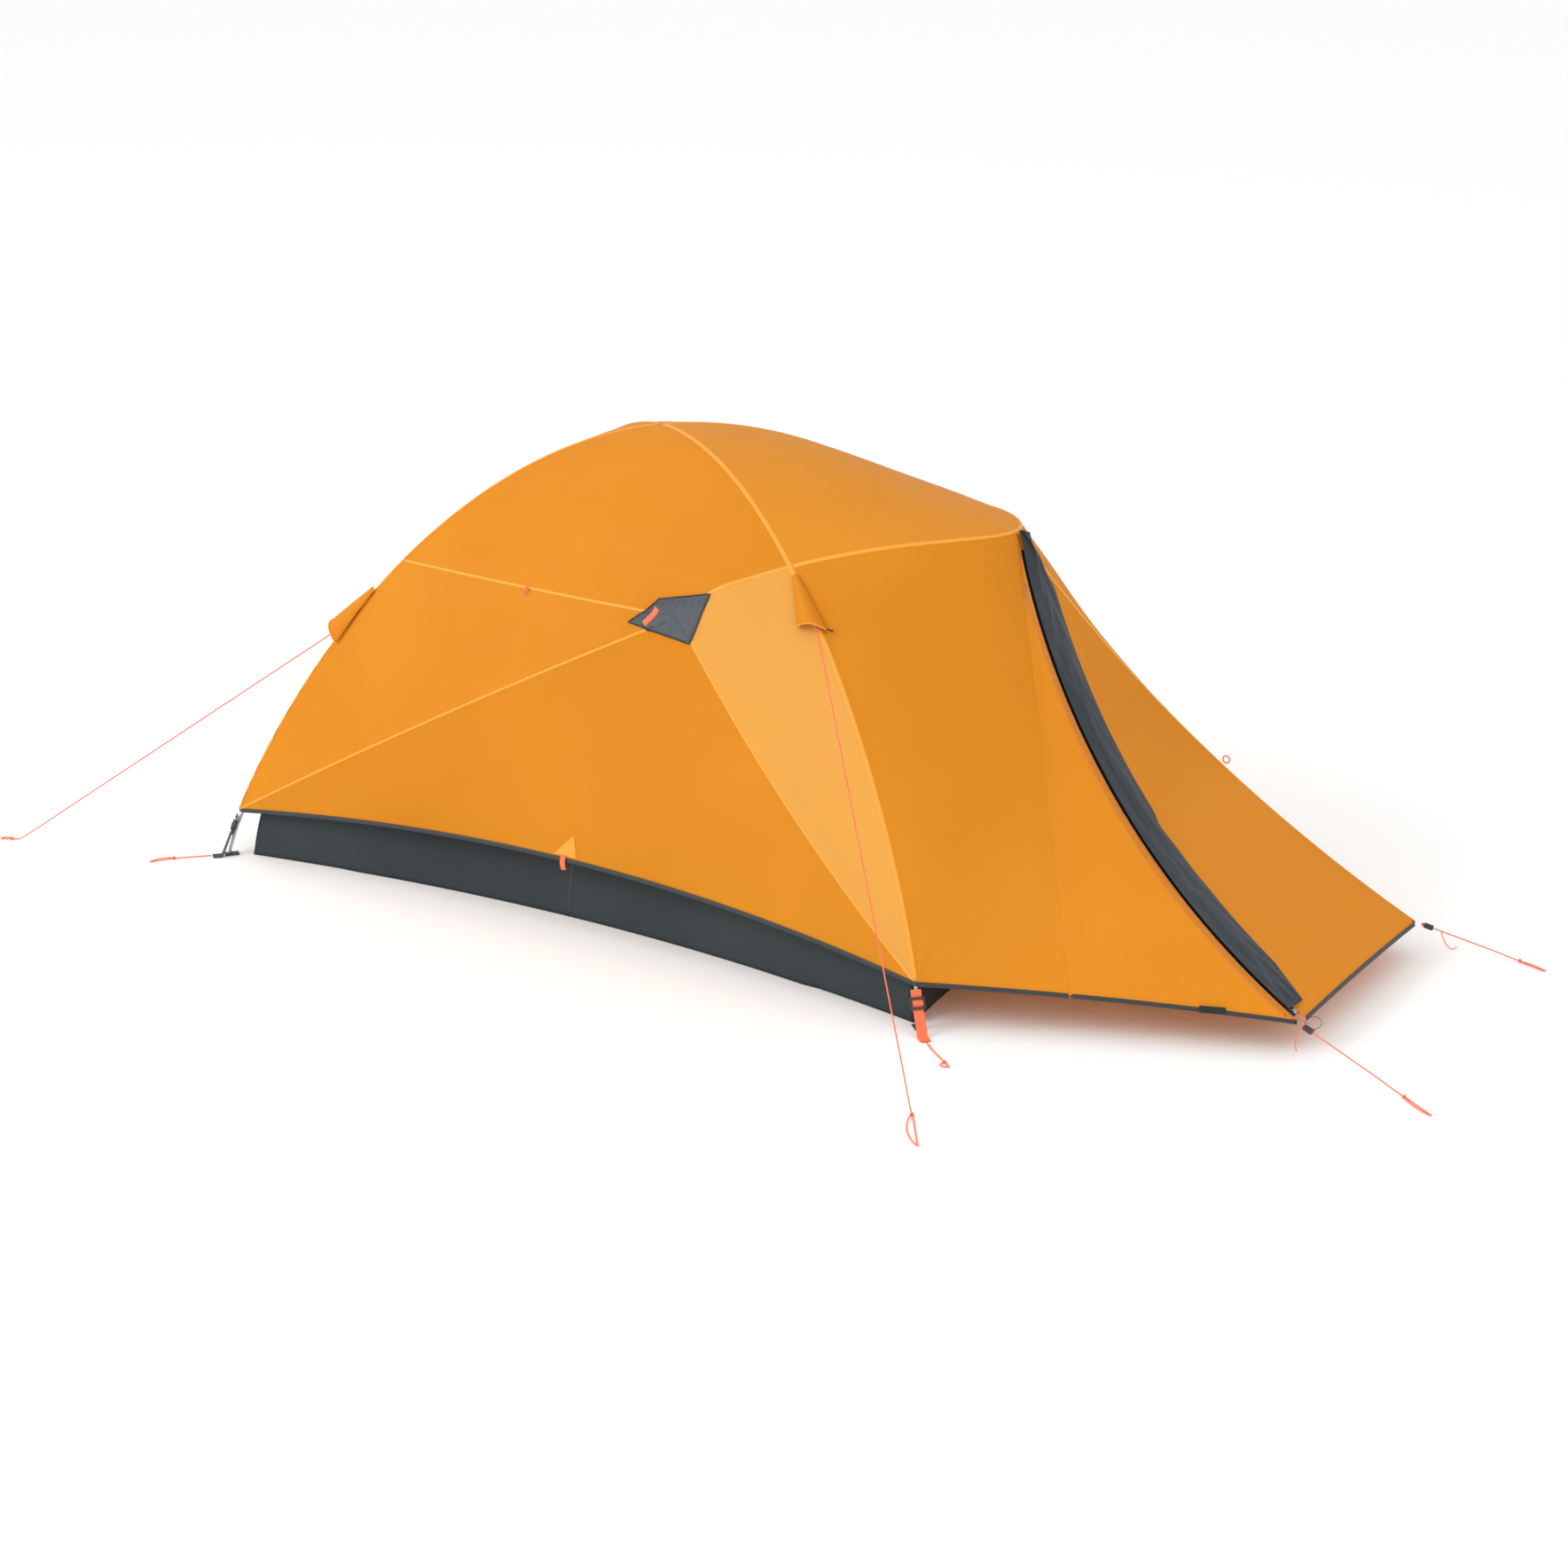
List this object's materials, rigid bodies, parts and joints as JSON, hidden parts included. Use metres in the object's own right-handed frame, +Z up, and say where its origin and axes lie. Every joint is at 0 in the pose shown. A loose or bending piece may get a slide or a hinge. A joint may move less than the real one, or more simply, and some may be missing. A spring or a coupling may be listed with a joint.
{
  "type": "tent on poles",
  "caption": "Low dome tent on crossed arch poles with a brow pole, a fly with a zipped front porch, a dark tub floor, an inner tent and guy lines.",
  "frame": {"origin": "centre of the box around the tent without its cords and line locks, on the ground", "axes": "+X from the rear of the sleeping space towards the porch, +Y towards the side away from the porch zip, +Z up"},
  "size_m": [3.9066, 1.9655, 1.1673],
  "materials": {
    "pole_alloy": "anodised, satin",
    "fly_cloth": "thin orange proofed ripstop, slightly see-through to light",
    "inner_cloth": "light breathable weave",
    "groundsheet_cloth": "dark grey coated weave",
    "binding_tape": "dark woven binding",
    "patch_cloth": "grey shiny coated weave",
    "zip_tape_cloth": "coil zip tape",
    "zip_metal": "dark enamel",
    "dark_webbing": "dark woven webbing",
    "orange_webbing": "orange woven webbing",
    "dark_plastic": "moulded, slightly glossy",
    "orange_cord": "braided cord"
  },
  "bodies": {
    "tent_body": {"arch_pole_upper": "pole_alloy", "arch_pole_lower": "pole_alloy", "brow_pole": "pole_alloy", "fly_upper_side_near": "fly_cloth", "fly_rear_side_near": "fly_cloth", "fly_lower_side_near": "fly_cloth", "fly_front_side_near": "fly_cloth", "fly_upper_side_far": "fly_cloth", "fly_rear_side_far": "fly_cloth", "fly_lower_side_far": "fly_cloth", "fly_front_side_far": "fly_cloth", "fly_rear": "fly_cloth", "fly_roof_front": "fly_cloth", "fly_porch_far": "fly_cloth", "fly_porch_near": "fly_cloth", "fly_porch_front": "fly_cloth", "guy_hood_front_near": "fly_cloth", "guy_hood_rear_near": "fly_cloth", "guy_hood_front_far": "fly_cloth", "guy_hood_rear_far": "fly_cloth", "hem_anchor_near": "fly_cloth", "hem_anchor_far": "fly_cloth", "inner_wall_near": "inner_cloth", "inner_wall_far": "inner_cloth", "inner_wall_rear": "inner_cloth", "inner_wall_front": "inner_cloth", "tub_floor": "groundsheet_cloth", "zip_flap": "groundsheet_cloth", "hem_tape": "binding_tape", "brow_patch_near": "patch_cloth", "brow_patch_far": "patch_cloth", "zip_tape": "zip_tape_cloth", "corner_tab_front_near": "dark_webbing", "corner_tab_rear_near": "dark_webbing", "corner_tab_front_far": "dark_webbing", "corner_tab_rear_far": "dark_webbing", "corner_strap_rear_near": "dark_webbing", "corner_strap_rear_far": "dark_webbing", "corner_strap_front_near": "orange_webbing", "corner_strap_front_far": "orange_webbing", "apex_clip": "dark_plastic", "ladder_buckle_front_near": "dark_plastic", "ladder_buckle_rear_near": "dark_plastic", "ladder_buckle_front_far": "dark_plastic", "ladder_buckle_rear_far": "dark_plastic", "porch_ridge_loop": "orange_cord", "guy_line_front_near": "orange_cord", "guy_line_rear_near": "orange_cord", "porch_guy_near": "orange_cord", "porch_guy_far": "orange_cord", "stake_cord_front_near": "orange_cord", "stake_cord_rear_near": "orange_cord"},
    "porch_door_flap": {"porch_door": "fly_cloth", "door_hem_tape": "binding_tape"},
    "zip_runner": {"zip_slider": "zip_metal", "zip_pull": "orange_cord"},
    "inner_door_panel": {"inner_door": "inner_cloth"},
    "inner_zip_runner": {"inner_door_slider": "zip_metal"},
    "near_line_lock": {"line_lock_near": "dark_plastic"},
    "far_line_lock": {"line_lock_far": "dark_plastic"}
  },
  "joints": [
    {"name": "porch_door_fold", "type": "hinge", "parent": "tent_body", "child": "porch_door_flap", "pos_m": [0.97889, -0.52846, 0.10384], "axis": [0.3792, -0.4608, -0.8024], "range_deg": [0, 120]},
    {"name": "porch_zip_run", "type": "hinge", "parent": "tent_body", "child": "zip_runner", "pos_m": [2.44105, 0.78747, 1.60294], "axis": [-0.1917, 0.8378, -0.5113], "range_deg": [0, 33]},
    {"name": "inner_door_swing", "type": "hinge", "parent": "tent_body", "child": "inner_door_panel", "pos_m": [0.51796, 0.27037, 0.3327], "axis": [0.5647, 0.175, -0.8065], "range_deg": [0, 80]},
    {"name": "inner_zip_run", "type": "slide", "parent": "tent_body", "child": "inner_zip_runner", "axis": [-0.5502, 0.1706, 0.8174], "range_m": [0, 0.62]},
    {"name": "near_lock_slide", "type": "slide", "parent": "tent_body", "child": "near_line_lock", "axis": [0.927, -0.2781, -0.2516], "range_m": [0, 0.12]},
    {"name": "far_lock_slide", "type": "slide", "parent": "tent_body", "child": "far_line_lock", "axis": [0.8971, 0.3204, -0.3044], "range_m": [0, 0.09]}
  ]
}
